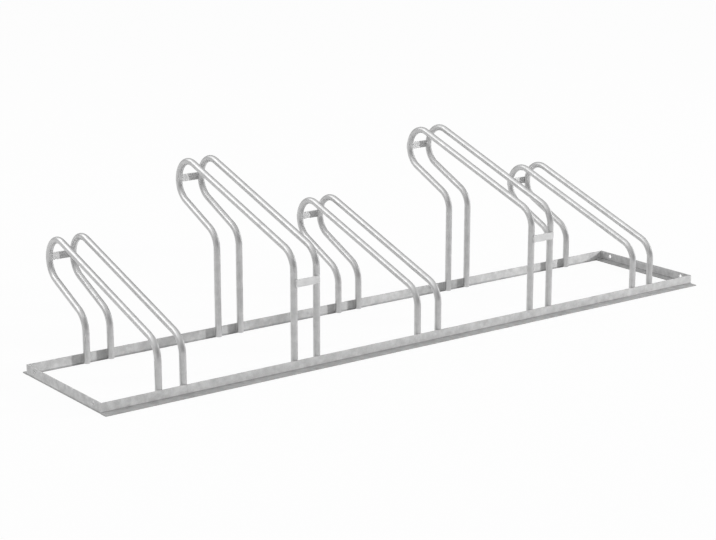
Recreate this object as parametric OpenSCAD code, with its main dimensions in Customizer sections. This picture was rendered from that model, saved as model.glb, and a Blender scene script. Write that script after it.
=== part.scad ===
// Floor bike rack, five bays, low and high hoops in turn, hot-dip galvanised.
// Four rolled angle rails lie on the floor as a frame. Each bay is a pair of
// bent tube hoops that stand inside the frame and grip a tyre between them.
// Millimetres. X runs along the rack, bikes are pushed in from the -Y side
// and Z = 0 is the floor. The origin is the middle of the rack's footprint.

/* [Bays] */
// Distance from the middle of one bay to the middle of the next
bay_pitch = 400; // [300:5:600]
// Distance from the middle of an end bay to the end of the rack
end_margin = 200; // [120:5:400]
// Clear gap between the two hoops of a bay, where the tyre goes
tyre_gap = 52; // [30:1:90]

/* [Rails] */
// Clear distance between the front rail and the back rail
rail_spacing = 375; // [320:1:460]
// Height of the standing leg of a rail
rail_web = 28; // [24:0.5:45]
// Width of the lying leg of a rail
rail_flange = 25; // [15:0.5:45]
// Wall of a rail
rail_wall = 3; // [2:0.5:4]
// Rounding of the heel, the outer corner of the angle
rail_heel_r = 0.8; // [0.3:0.1:0.9]
// Radius of the root, the inner corner of the angle
rail_root_r = 3; // [1:0.5:5]
// Rounding of the two toes of a rail
rail_toe_r = 0.8; // [0.3:0.1:0.9]

/* [Coupling holes] */
// Diameter of the holes that bolt one rack to the next
bolt_hole_d = 11; // [6:0.5:13]
// Height of the holes above the floor
bolt_height = 17; // [12:0.5:17]
// Distance from the inner face of a long rail to the middle of a hole
bolt_inset = 37.5; // [20:0.5:120]

/* [Hoops] */
// Outside diameter of the hoop tube
tube_d = 18; // [12:0.5:22]
// Wall of the hoop tube
tube_wall = 1.5; // [1:0.1:3]
// Radius of every bend, to the middle of the tube
bend_r = 58; // [45:1:70]
// Height of the top of a low hoop
low_height = 312; // [270:1:360]
// Height of the top of a high hoop
high_height = 472; // [400:1:560]
// How far the nose of a hoop stands out past the inner face of the back rail
nose_reach = 185; // [140:1:240]
// Rise of the long run from the front upright to the nose, in degrees
long_rise = 18.8; // [14:0.2:22]
// Rise of the short run from the back upright to the nose, in degrees
short_rise = 24.6; // [16:0.2:34]
// Height of the cut end of a tube above the floor
foot_lift = 4; // [0:0.5:8]

/* [Straps] */
// Height of a strap
strap_width = 20; // [12:1:30]
// Thickness of a strap
strap_t = 4; // [3:0.5:6]
// How far a strap laps over each hoop
strap_lap = 10; // [5:0.5:12]
// Distance from the start of the front bend down to the top of a wheel rest
rest_drop = 20; // [5:1:60]
// Rounding of the long edges of a strap
strap_edge_r = 0.8; // [0.3:0.1:1.4]

/* [Hidden] */
$fn = 64;
bay_count = 5;
// Gap at a weld, between a round tube and the flat face that it stands against
weld_gap = 0.1;
// Overrun of a cut past the faces that it opens
overrun = 1;
zinc_grey = [0.70, 0.71, 0.72];
tube_grey = [0.78, 0.79, 0.80];
strap_grey = [0.84, 0.85, 0.85];

tube_r = tube_d / 2;
rail_length = (bay_count - 1) * bay_pitch + 2 * end_margin;
hoop_spacing = tyre_gap + tube_d;
// A bend of tube laps this far into each straight, and is this much slimmer
bend_lap = 1;
bend_slim = 0.1;
bend_lap_angle = bend_lap / bend_r * 180 / PI;
strap_length = tyre_gap + 2 * strap_lap;
// Middle line of the uprights, which stand against the standing legs of the rails
upright_y = rail_spacing / 2 - tube_r - weld_gap;
// Middle of the nose bend
nose_y = rail_spacing / 2 + nose_reach - tube_r - bend_r;
// Face of a nose strap that lies against the hoops
strap_y = nose_y + bend_r + tube_r + weld_gap;
footprint_mid_y = (strap_y + strap_t - rail_spacing / 2 - rail_flange) / 2;

// Bays count from 1 at the left, and every second one is high
function bay_x(bay) = (bay - (bay_count + 1) / 2) * bay_pitch;
function hoop_top(bay) = bay % 2 == 0 ? high_height : low_height;

// Heights of the middles of the three bends of a hoop. Both runs are tangent
// to the nose bend, and each upright is tangent to its own bend.
function nose_z(top) = top - tube_r - bend_r;
function front_bend_z(top) =
    nose_z(top) + bend_r * cos(long_rise) - bend_r / cos(long_rise)
    + (bend_r - upright_y - nose_y + bend_r * sin(long_rise)) * tan(long_rise);
function back_bend_z(top) =
    nose_z(top) - bend_r * cos(short_rise) - bend_r / cos(short_rise)
    + (bend_r + upright_y - nose_y - bend_r * sin(short_rise)) * tan(short_rise);

// A point on a bend, seen from the right end of the rack: [y, z]
function on_bend(middle, angle) = middle + bend_r * [cos(angle), sin(angle)];

// Rolled angle: x is the width of the lying leg, y the height of the standing leg
module angle_section() {
    leg(rail_web);
    mirror([1, -1]) leg(rail_flange);
    translate([rail_heel_r, rail_heel_r]) circle(r = rail_heel_r);
    translate([rail_wall, rail_wall]) difference() {
        square([rail_root_r, rail_root_r]);
        translate([rail_root_r, rail_root_r]) circle(r = rail_root_r);
    }
}

// One leg of the angle, from its heel to its rounded toe
module leg(length) {
    translate([0, rail_heel_r])
        square([rail_wall, length - rail_toe_r - rail_heel_r]);
    translate([rail_toe_r, length - 2 * rail_toe_r])
        square([rail_wall - 2 * rail_toe_r, 2 * rail_toe_r]);
    for (x = [rail_toe_r, rail_wall - rail_toe_r])
        translate([x, length - rail_toe_r]) circle(r = rail_toe_r);
}

// A length of angle along X, turned so that its lying leg points along turn
module angle_rail(length, turn) {
    rotate([90, 0, turn])
        linear_extrude(height = length, center = true) angle_section();
}

// The pieces are laid out from the middle of the frame of rails, and this moves
// them to the middle of the footprint
module laid_out() {
    translate([0, -footprint_mid_y, 0]) children();
}

// The front and back rails run through, with their lying legs pointing outwards
module front_rail() {
    color(zinc_grey) laid_out()
        translate([0, -rail_spacing / 2, 0]) angle_rail(rail_length, -90);
}

module back_rail() {
    color(zinc_grey) laid_out()
        translate([0, rail_spacing / 2, 0]) angle_rail(rail_length, 90);
}

// The end rails fit between the long ones, with their lying legs pointing inwards
module left_end_rail() {
    color(zinc_grey) laid_out()
        translate([-rail_length / 2, 0, 0]) drilled_end_rail();
}

module right_end_rail() {
    color(zinc_grey) laid_out()
        translate([rail_length / 2, 0, 0]) rotate([0, 0, 180]) drilled_end_rail();
}

module drilled_end_rail() {
    difference() {
        angle_rail(rail_spacing, 0);
        for (side = [-1, 1])
            translate([-overrun, side * (rail_spacing / 2 - bolt_inset), bolt_height])
                rotate([0, 90, 0])
                    cylinder(h = rail_wall + 2 * overrun, d = bolt_hole_d);
    }
}

// A straight of round bar from one [y, z] to another
module straight(from, to, r) {
    translate([0, from[0], from[1]])
        rotate([atan2(to[1] - from[1], to[0] - from[0]) - 90, 0, 0])
            linear_extrude(height = norm(to - from)) circle(r = r);
}

// A bend of round bar about a [y, z], from one angle to another. It laps into
// the straights at both ends and is a hair slimmer, so that they become one.
module bend(middle, from, to, r) {
    translate([0, middle[0], middle[1]])
        rotate([90, 0, 90]) rotate([0, 0, from - bend_lap_angle])
            rotate_extrude(angle = to - from + 2 * bend_lap_angle)
                translate([bend_r, 0]) circle(r = r - bend_slim);
}

// Up from the front rail, over the long run to the nose, back under it along
// the short run, and down to the back rail
module hoop_path(top, r, foot) {
    front = [bend_r - upright_y, front_bend_z(top)];
    nose = [nose_y, nose_z(top)];
    back = [bend_r + upright_y, back_bend_z(top)];
    straight([-upright_y, foot], [-upright_y, front[1]], r);
    bend(front, 90 + long_rise, 180, r);
    straight(on_bend(front, 90 + long_rise), on_bend(nose, 90 + long_rise), r);
    bend(nose, short_rise - 90, long_rise + 90, r);
    straight(on_bend(back, 90 + short_rise), on_bend(nose, short_rise - 90), r);
    bend(back, 90 + short_rise, 180, r);
    straight([upright_y, foot], [upright_y, back[1]], r);
}

// One tube, open at both cut ends
module bent_tube(top) {
    difference() {
        hoop_path(top, tube_r, foot_lift);
        hoop_path(top, tube_r - tube_wall, foot_lift - overrun);
    }
}

// side is -1 for the left hoop of a bay and 1 for the right one
module hoop(bay, side) {
    color(tube_grey) laid_out()
        translate([bay_x(bay) + side * hoop_spacing / 2, 0, 0])
            bent_tube(hoop_top(bay));
}

// Flat bar along X, thick along Y from 0 outwards, with rounded long edges
module strap_bar() {
    rotate([90, 0, 90]) linear_extrude(height = strap_length, center = true) {
        translate([0, strap_edge_r - strap_width / 2])
            square([strap_t, strap_width - 2 * strap_edge_r]);
        translate([strap_edge_r, -strap_width / 2])
            square([strap_t - 2 * strap_edge_r, strap_width]);
        for (x = [strap_edge_r, strap_t - strap_edge_r], side = [-1, 1])
            translate([x, side * (strap_width / 2 - strap_edge_r)])
                circle(r = strap_edge_r);
    }
}

// The nose strap joins the two hoops of a bay at the back of their nose bends
module nose_strap(bay) {
    color(strap_grey) laid_out()
        translate([bay_x(bay), strap_y, nose_z(hoop_top(bay))]) strap_bar();
}

// The wheel rest carries the raised front wheel, in front of the front uprights
module wheel_rest(bay) {
    rest_z = front_bend_z(hoop_top(bay)) - rest_drop - strap_width / 2;
    color(strap_grey) laid_out()
        translate([bay_x(bay), -upright_y - tube_r - weld_gap, rest_z])
            rotate([0, 0, 180]) strap_bar();
}

module bay_1_left_hoop() { hoop(1, -1); }
module bay_1_right_hoop() { hoop(1, 1); }
module bay_1_nose_strap() { nose_strap(1); }
module bay_2_left_hoop() { hoop(2, -1); }
module bay_2_right_hoop() { hoop(2, 1); }
module bay_2_nose_strap() { nose_strap(2); }
module bay_2_wheel_rest() { wheel_rest(2); }
module bay_3_left_hoop() { hoop(3, -1); }
module bay_3_right_hoop() { hoop(3, 1); }
module bay_3_nose_strap() { nose_strap(3); }
module bay_4_left_hoop() { hoop(4, -1); }
module bay_4_right_hoop() { hoop(4, 1); }
module bay_4_nose_strap() { nose_strap(4); }
module bay_4_wheel_rest() { wheel_rest(4); }
module bay_5_left_hoop() { hoop(5, -1); }
module bay_5_right_hoop() { hoop(5, 1); }
module bay_5_nose_strap() { nose_strap(5); }

front_rail();
back_rail();
left_end_rail();
right_end_rail();
bay_1_left_hoop();
bay_1_right_hoop();
bay_1_nose_strap();
bay_2_left_hoop();
bay_2_right_hoop();
bay_2_nose_strap();
bay_2_wheel_rest();
bay_3_left_hoop();
bay_3_right_hoop();
bay_3_nose_strap();
bay_4_left_hoop();
bay_4_right_hoop();
bay_4_nose_strap();
bay_4_wheel_rest();
bay_5_left_hoop();
bay_5_right_hoop();
bay_5_nose_strap();
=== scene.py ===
from math import radians

import bpy
from mathutils import Matrix, Vector


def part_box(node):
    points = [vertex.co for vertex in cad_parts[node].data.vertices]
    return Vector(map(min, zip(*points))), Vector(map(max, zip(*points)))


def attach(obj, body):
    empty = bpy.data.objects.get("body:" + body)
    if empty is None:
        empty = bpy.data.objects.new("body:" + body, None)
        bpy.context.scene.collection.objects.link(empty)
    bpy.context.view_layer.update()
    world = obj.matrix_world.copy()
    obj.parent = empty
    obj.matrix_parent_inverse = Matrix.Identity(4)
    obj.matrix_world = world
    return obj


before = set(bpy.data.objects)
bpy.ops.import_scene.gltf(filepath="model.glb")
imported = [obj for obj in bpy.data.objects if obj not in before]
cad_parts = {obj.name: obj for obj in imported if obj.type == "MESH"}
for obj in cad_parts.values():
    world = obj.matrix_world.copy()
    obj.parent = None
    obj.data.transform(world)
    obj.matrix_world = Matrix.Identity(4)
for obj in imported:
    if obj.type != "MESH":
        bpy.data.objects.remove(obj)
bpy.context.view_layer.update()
scene = bpy.context.scene


# Camera: stands to the left of the rack's front, a little above it, and looks
# along and down. A long lens keeps the far end nearly as large as the near end.
camera_place = (-3.0098, -3.9664, 1.4339)
turn_right, look_down, lean = radians(36.841), radians(14.550), radians(0.074)
camera_data = bpy.data.cameras.new("camera")
camera_data.sensor_width = 36.0
camera_data.lens = 93.35
camera = bpy.data.objects.new("camera", camera_data)
camera.location = camera_place
camera.rotation_euler = (
    Matrix.Rotation(-turn_right, 3, "Z")
    @ Matrix.Rotation(radians(90) - look_down, 3, "X")
    @ Matrix.Rotation(lean, 3, "Z")
).to_euler()
scene.collection.objects.link(camera)
scene.camera = camera


# Floor: a wide white studio floor. Seen directly or mirrored in the zinc it is
# white with a faint shadow under the rack, and it throws soft light upwards.
floor_reach = 80.0
floor_drop = 0.0002
floor_white = (0.60, 0.60, 0.60, 1.0)
floor_glow_share = 0.95
bpy.ops.mesh.primitive_plane_add(size=floor_reach, location=(0, 0, -floor_drop))
floor = bpy.context.active_object
floor.name = "studio_floor"
bpy.ops.object.transform_apply(location=True)
paint = bpy.data.materials.new("floor_white")
paint.use_nodes = True
nodes, links = paint.node_tree.nodes, paint.node_tree.links
nodes.clear()
out = nodes.new("ShaderNodeOutputMaterial")
matt = nodes.new("ShaderNodeBsdfDiffuse")
matt.inputs["Color"].default_value = floor_white
glow = nodes.new("ShaderNodeEmission")
glow.inputs["Color"].default_value = (1, 1, 1, 1)
glow.inputs["Strength"].default_value = 1.0
shown = nodes.new("ShaderNodeMixShader")
shown.inputs["Fac"].default_value = floor_glow_share
links.new(matt.outputs["BSDF"], shown.inputs[1])
links.new(glow.outputs["Emission"], shown.inputs[2])
ray = nodes.new("ShaderNodeLightPath")
seen_or_mirrored = nodes.new("ShaderNodeMath")
seen_or_mirrored.operation = "MAXIMUM"
links.new(ray.outputs["Is Camera Ray"], seen_or_mirrored.inputs[0])
links.new(ray.outputs["Is Glossy Ray"], seen_or_mirrored.inputs[1])
seen_any_way = nodes.new("ShaderNodeMath")
seen_any_way.operation = "MAXIMUM"
links.new(seen_or_mirrored.outputs["Value"], seen_any_way.inputs[0])
links.new(ray.outputs["Is Transmission Ray"], seen_any_way.inputs[1])
pick = nodes.new("ShaderNodeMixShader")
links.new(seen_any_way.outputs["Value"], pick.inputs["Fac"])
links.new(matt.outputs["BSDF"], pick.inputs[1])
links.new(shown.outputs["Shader"], pick.inputs[2])
links.new(pick.outputs["Shader"], out.inputs["Surface"])
floor.data.materials.append(paint)


# Studio light: a room that is brightest overhead and behind on the left, with a
# broad soft lamp there and a second one on the right. One small firm lamp low on
# the right draws the narrow shadows of the hoops and reaches evenly along the rack.
def worked_out(tree, operation, *terms):
    """The result of a sum, where each term is a plain number or another result."""
    step = tree.nodes.new("ShaderNodeMath")
    step.operation = operation
    for socket, term in zip(step.inputs, terms):
        if isinstance(term, float):
            socket.default_value = term
        else:
            tree.links.new(term, socket)
    return step.outputs["Value"]


def soft_lamp(name, towards, distance, width, height, power):
    """A broad lamp that hangs in a direction from the rack and faces it."""
    direction = Vector(towards).normalized()
    data = bpy.data.lights.new(name, "AREA")
    data.shape = "RECTANGLE"
    data.size = width
    data.size_y = height
    data.energy = power
    lamp = bpy.data.objects.new(name, data)
    lamp.location = direction * distance
    lamp.rotation_euler = direction.to_track_quat("Z", "Y").to_euler()
    scene.collection.objects.link(lamp)


ceiling_level = 0.88
wall_height = 0.32
pool_level = 0.77
pool_edge = 2.0
towards_pool = (-0.612, 0.354, 0.707)
scene.view_settings.view_transform = "Standard"
room = bpy.data.worlds.new("studio")
scene.world = room
room.use_nodes = True
tree = room.node_tree
tree.nodes.clear()
out = tree.nodes.new("ShaderNodeOutputWorld")
air = tree.nodes.new("ShaderNodeBackground")
air.inputs["Color"].default_value = (1, 1, 1, 1)
place = tree.nodes.new("ShaderNodeTexCoord")
height = tree.nodes.new("ShaderNodeSeparateXYZ")
tree.links.new(place.outputs["Generated"], height.inputs["Vector"])
along = tree.nodes.new("ShaderNodeVectorMath")
along.operation = "DOT_PRODUCT"
along.inputs[1].default_value = towards_pool
tree.links.new(place.outputs["Generated"], along.inputs[0])
upwards = worked_out(tree, "MAXIMUM", height.outputs["Z"], wall_height)
from_ceiling = worked_out(tree, "MULTIPLY", upwards, ceiling_level)
ahead = worked_out(tree, "MAXIMUM", along.outputs["Value"], 0.0)
pool = worked_out(tree, "POWER", ahead, pool_edge)
from_room = worked_out(tree, "MULTIPLY_ADD", pool, pool_level, from_ceiling)
tree.links.new(from_room, air.inputs["Strength"])
tree.links.new(air.outputs["Background"], out.inputs["Surface"])

key_data = bpy.data.lights.new("key", "POINT")
key_data.energy = 37
key_data.shadow_soft_size = 0.17
key_data.use_nodes = True
key_tree = key_data.node_tree
beam = key_tree.nodes["Emission"]
even = key_tree.nodes.new("ShaderNodeLightFalloff")
even.inputs["Strength"].default_value = 1.0
key_tree.links.new(even.outputs["Constant"], beam.inputs["Strength"])
key = bpy.data.objects.new("key", key_data)
key.location = (3.5, -2.08, 1.0)
key.visible_glossy = False
scene.collection.objects.link(key)
soft_lamp("overhead", (-0.54, 0.437, 0.719), distance=4.5, width=4.6, height=2.2, power=42)
soft_lamp("side", (0.94, -0.20, 0.30), distance=4.5, width=3.4, height=1.8, power=27)


# Rails: four lengths of rolled steel angle, two long with the lying leg outwards
# and two short with it inwards, butted and welded at the corners and dipped in
# molten zinc. It sets to a cloudy satin grey, with painted shade low down, on the lying legs and in the
# roots.
rail_wall = 0.003
root_radius = 0.003


def faded(tree, source, start, end, low, high):
    """A value that goes from low to high while the source goes from start to end."""
    step = tree.nodes.new("ShaderNodeMapRange")
    step.inputs["From Min"].default_value = start
    step.inputs["From Max"].default_value = end
    step.inputs["To Min"].default_value = low
    step.inputs["To Max"].default_value = high
    tree.links.new(source, step.inputs["Value"])
    return step.outputs["Result"]


def zinc_finish(name, grey, metal_share, satin, flake_width, contrast, bumpiness,
                low_shade_share=1.0, upward_shade_share=1.0, root_shade_share=1.0):
    """A coat of zinc: soft flakes, fine grain and broad clouds, in tone, gloss and relief, with painted
    shade low down, on faces that point up and in the round root.
    """
    grains_per_flake = 3.0
    clouds_per_metre = 45.0
    flake_weight = 0.5
    cloud_weight = 1.5
    dark_from, pale_from = 1.0, 2.0
    gloss_spread = 0.06
    relief_depth = 0.0003

    zinc = bpy.data.materials.new(name)
    zinc.use_nodes = True
    tree = zinc.node_tree
    skin = tree.nodes["Principled BSDF"]
    skin.inputs["Metallic"].default_value = metal_share
    place = tree.nodes.new("ShaderNodeTexCoord")
    flake = tree.nodes.new("ShaderNodeTexVoronoi")
    flake.feature = "SMOOTH_F1"
    flake.inputs["Smoothness"].default_value = 0.9
    flake.inputs["Scale"].default_value = 1.0 / flake_width
    grain = tree.nodes.new("ShaderNodeTexNoise")
    grain.inputs["Scale"].default_value = grains_per_flake / flake_width
    grain.inputs["Detail"].default_value = 3.0
    cloud = tree.nodes.new("ShaderNodeTexNoise")
    cloud.inputs["Scale"].default_value = clouds_per_metre
    cloud.inputs["Detail"].default_value = 4.0
    for texture in (flake, grain, cloud):
        tree.links.new(place.outputs["Object"], texture.inputs["Vector"])
    flake_tone = tree.nodes.new("ShaderNodeSeparateColor")
    tree.links.new(flake.outputs["Color"], flake_tone.inputs["Color"])
    fine = worked_out(tree, "MULTIPLY_ADD", flake_tone.outputs["Red"], flake_weight, grain.outputs["Fac"])
    mottle = worked_out(tree, "MULTIPLY_ADD", cloud.outputs["Fac"], cloud_weight, fine)

    colour = tree.nodes.new("ShaderNodeMix")
    colour.data_type = "RGBA"
    dark, pale = grey * (1 - contrast), grey * (1 + contrast)
    colour.inputs["A"].default_value = (dark, dark, dark, 1)
    colour.inputs["B"].default_value = (pale, pale, pale, 1)
    tree.links.new(faded(tree, mottle, dark_from, pale_from, 0.0, 1.0), colour.inputs["Factor"])

    # Painted shade: the colour is darkened low on the rails, on faces that point up and in the round root
    # of the angle, where light falls weakly.
    height = tree.nodes.new("ShaderNodeSeparateXYZ")
    tree.links.new(place.outputs["Object"], height.inputs["Vector"])
    facing = tree.nodes.new("ShaderNodeSeparateXYZ")
    tree.links.new(place.outputs["Normal"], facing.inputs["Vector"])
    root_top = rail_wall + root_radius
    # Painted shade near the floor: darker below the top of the root.
    foot = faded(tree, height.outputs["Z"], rail_wall + 0.0002, root_top, low_shade_share, 1.0)
    # Painted shade on faces that point up.
    lying = faded(tree, facing.outputs["Z"], 0.3, 0.9, 1.0, upward_shade_share)
    # Painted shade in the round root between the two legs.
    root_shade_ramp = tree.nodes.new("ShaderNodeValToRGB")
    root_shade_ramp.color_ramp.elements.new(0.15)
    root_shade_ramp.color_ramp.elements.new(0.85)
    steps = ((0.02, 1.0), (0.15, root_shade_share), (0.85, root_shade_share), (0.98, 1.0))
    for stop, (position, share) in zip(root_shade_ramp.color_ramp.elements, steps):
        stop.position = position
        stop.color = (share, share, share, 1)
    tree.links.new(facing.outputs["Z"], root_shade_ramp.inputs["Fac"])
    above_root = faded(tree, height.outputs["Z"], root_top, root_top + 0.001, 0.0, 1.0)
    root = worked_out(tree, "MAXIMUM", root_shade_ramp.outputs["Color"], above_root)
    # All painted shade together scales the zinc colour down.
    painted_shade_factor = worked_out(tree, "MINIMUM", worked_out(tree, "MINIMUM", foot, lying), root)
    shaded_colour = tree.nodes.new("ShaderNodeVectorMath")
    shaded_colour.operation = "SCALE"
    tree.links.new(colour.outputs["Result"], shaded_colour.inputs[0])
    tree.links.new(painted_shade_factor, shaded_colour.inputs["Scale"])
    tree.links.new(shaded_colour.outputs["Vector"], skin.inputs["Base Color"])

    gloss = faded(tree, mottle, dark_from, pale_from, satin + gloss_spread, satin - gloss_spread)
    tree.links.new(gloss, skin.inputs["Roughness"])
    relief = tree.nodes.new("ShaderNodeBump")
    relief.inputs["Strength"].default_value = bumpiness
    relief.inputs["Distance"].default_value = relief_depth
    tree.links.new(flake_tone.outputs["Red"], relief.inputs["Height"])
    tree.links.new(relief.outputs["Normal"], skin.inputs["Normal"])
    return zinc


# The rails get painted shade low down, on their lying legs and in their roots.
rail_zinc = zinc_finish(
    "rail_zinc", grey=0.52, metal_share=0.0, satin=0.58, flake_width=0.009, contrast=0.18,
    bumpiness=0.2, low_shade_share=0.64, upward_shade_share=0.8, root_shade_share=0.52,
)
for name in ("front_rail", "back_rail", "left_end_rail", "right_end_rail"):
    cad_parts[name].material_slots[0].material = rail_zinc


# Corner welds: each end rail is welded into the corner between the long rails,
# with one upright bead on the standing legs and one bead on the lying legs.
ripple_length = 0.0022
bead_sides = 12


def weld_bead(length, radius):
    """A bead of weld along Z, laid in ripples that each start steep and trail off."""
    ripples = max(4, round(length / ripple_length))
    pitch = length / ripples
    bpy.ops.object.select_all(action="DESELECT")
    bpy.ops.mesh.primitive_circle_add(
        vertices=bead_sides, radius=0.5 * radius, fill_type="NGON", location=(0, 0, -length / 2)
    )
    bead = bpy.context.active_object
    bpy.ops.object.transform_apply(location=True)
    bpy.ops.object.mode_set(mode="EDIT")
    bpy.ops.mesh.select_all(action="SELECT")
    width = 0.5
    reached = 0.0
    for ripple in range(ripples):
        last = ripple == ripples - 1
        for share, wanted in ((0.25, 1.0), (0.40, 0.96), (0.35, 0.5 if last else 0.84)):
            bpy.ops.mesh.extrude_region_move(TRANSFORM_OT_translate={"value": (0, 0, share * pitch)})
            reached += share * pitch
            middle = (0, 0, reached - length / 2)
            ratio = wanted / width
            bpy.ops.transform.resize(value=(ratio, ratio, 1), center_override=middle)
            width = wanted
    bpy.ops.mesh.select_all(action="SELECT")
    bpy.ops.mesh.normals_make_consistent(inside=False)
    bpy.ops.object.mode_set(mode="OBJECT")
    bpy.ops.object.shade_smooth()
    return bead


def laid_bead(bead, place, turn=(0, 0, 0)):
    """A copy of a bead with its own mesh, turned and moved to its joint."""
    bpy.ops.object.select_all(action="DESELECT")
    bead.select_set(True)
    bpy.context.view_layer.objects.active = bead
    bpy.ops.object.duplicate(linked=False)
    copy = bpy.context.active_object
    copy.rotation_euler = turn
    copy.location = place
    bpy.ops.object.transform_apply(location=True, rotation=True, scale=True)
    return copy


def weld_piece(name, beads, finish):
    """The beads of one joint as one named piece on the rack."""
    bpy.ops.object.select_all(action="DESELECT")
    for bead in beads:
        bead.select_set(True)
    bpy.context.view_layer.objects.active = beads[0]
    bpy.ops.object.join()
    weld = bpy.context.active_object
    weld.name = name
    weld.data.name = name
    weld.data.materials.clear()
    weld.data.materials.append(finish)
    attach(weld, "root")


weld_zinc = zinc_finish(
    "weld_zinc", grey=0.57, metal_share=0.30, satin=0.45, flake_width=0.004, contrast=0.15, bumpiness=0.2
)
rail_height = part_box("front_rail")[1].z
front_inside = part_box("front_rail")[1].y
back_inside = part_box("back_rail")[0].y
left_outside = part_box("left_end_rail")[0].x
leg_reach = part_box("left_end_rail")[1].x - left_outside
corner_sink = 0.0006
corner_bead_short = 0.003
lying_bead_lift = 0.0003
upright_bead = weld_bead(rail_height - rail_wall - corner_bead_short, radius=0.0024)
lying_bead = weld_bead(leg_reach - rail_wall - corner_bead_short, radius=0.0020)
for side_name, side in (("left", -1), ("right", 1)):
    for end_name, inside, inwards in (("front", front_inside, 1), ("back", back_inside, -1)):
        corner_x = side * (-left_outside - rail_wall - corner_sink)
        corner_y = inside + inwards * corner_sink
        upright_z = (rail_height + rail_wall) / 2
        lying_x = side * (-left_outside - (leg_reach + rail_wall) / 2)
        beads = [
            laid_bead(upright_bead, (corner_x, corner_y, upright_z)),
            laid_bead(lying_bead, (lying_x, corner_y, rail_wall + lying_bead_lift), (0, radians(90), 0)),
        ]
        weld_piece(f"{side_name}_{end_name}_corner_weld", beads, weld_zinc)
for used in (upright_bead, lying_bead):
    bpy.data.objects.remove(used)


# Hoops: one drawn steel tube each, bent three times, welded in and dipped with the
# rack. The zinc runs smooth and thin on the tube, so it shines more than the rails.
tube_zinc = zinc_finish(
    "tube_zinc", grey=0.54, metal_share=0.75, satin=0.35, flake_width=0.010, contrast=0.08, bumpiness=0.03
)
for bay in range(1, 6):
    for side in ("left", "right"):
        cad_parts[f"bay_{bay}_{side}_hoop"].material_slots[0].material = tube_zinc


# Foot welds: each upright stands against the inside of a long rail and is
# welded to it down both sides, in the groove between the tube and the rail.
tube_radius = 0.009
groove_side = 0.0063
groove_depth = 0.0007
foot_bead_low = 0.005
foot_bead_high = rail_height - 0.002
foot_bead = weld_bead(foot_bead_high - foot_bead_low, radius=0.0024)
foot_bead_z = (foot_bead_low + foot_bead_high) / 2
for bay in range(1, 6):
    for side in ("left", "right"):
        hoop_name = f"bay_{bay}_{side}_hoop"
        low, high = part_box(hoop_name)
        hoop_x = (low.x + high.x) / 2
        beads = []
        for rail_y in (front_inside + groove_depth, back_inside - groove_depth):
            for across in (-groove_side, groove_side):
                beads.append(laid_bead(foot_bead, (hoop_x + across, rail_y, foot_bead_z)))
        weld_piece(f"{hoop_name}_foot_welds", beads, weld_zinc)
bpy.data.objects.remove(foot_bead)


# Straps: short lengths of flat bar welded across a pair of hoops, behind the
# nose in every bay and across the front uprights in the two high bays.
strap_zinc = zinc_finish(
    "strap_zinc", grey=0.61, metal_share=0.1, satin=0.5, flake_width=0.010, contrast=0.08, bumpiness=0.1
)
strap_names = [f"bay_{bay}_nose_strap" for bay in range(1, 6)] + ["bay_2_wheel_rest", "bay_4_wheel_rest"]
for name in strap_names:
    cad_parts[name].material_slots[0].material = strap_zinc


# Strap welds: a strap is welded down both ends, on to the back of the tube that
# it lies on, and in the groove between the tube and the face of the strap.
strap_bead_length = 0.0154
end_bead = weld_bead(strap_bead_length, radius=0.0020)
inner_bead = weld_bead(strap_bead_length, radius=0.0022)
strap_lap = 0.010
groove_in = strap_lap + groove_side - tube_radius
end_bead_out = 0.0008
end_bead_lift = 0.0010
for name in strap_names:
    low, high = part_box(name)
    middle = (low + high) / 2
    tube_face, outwards = (low.y, 1) if name.endswith("nose_strap") else (high.y, -1)
    beads = []
    for side in (-1, 1):
        strap_end = middle.x + side * (high.x - low.x) / 2
        end_place = (strap_end + side * end_bead_out, tube_face + outwards * end_bead_lift, middle.z)
        beads.append(laid_bead(end_bead, end_place))
        groove_x = strap_end - side * groove_in
        beads.append(laid_bead(inner_bead, (groove_x, tube_face - outwards * groove_depth, middle.z)))
    weld_piece(f"{name}_welds", beads, weld_zinc)
for used in (end_bead, inner_bead):
    bpy.data.objects.remove(used)
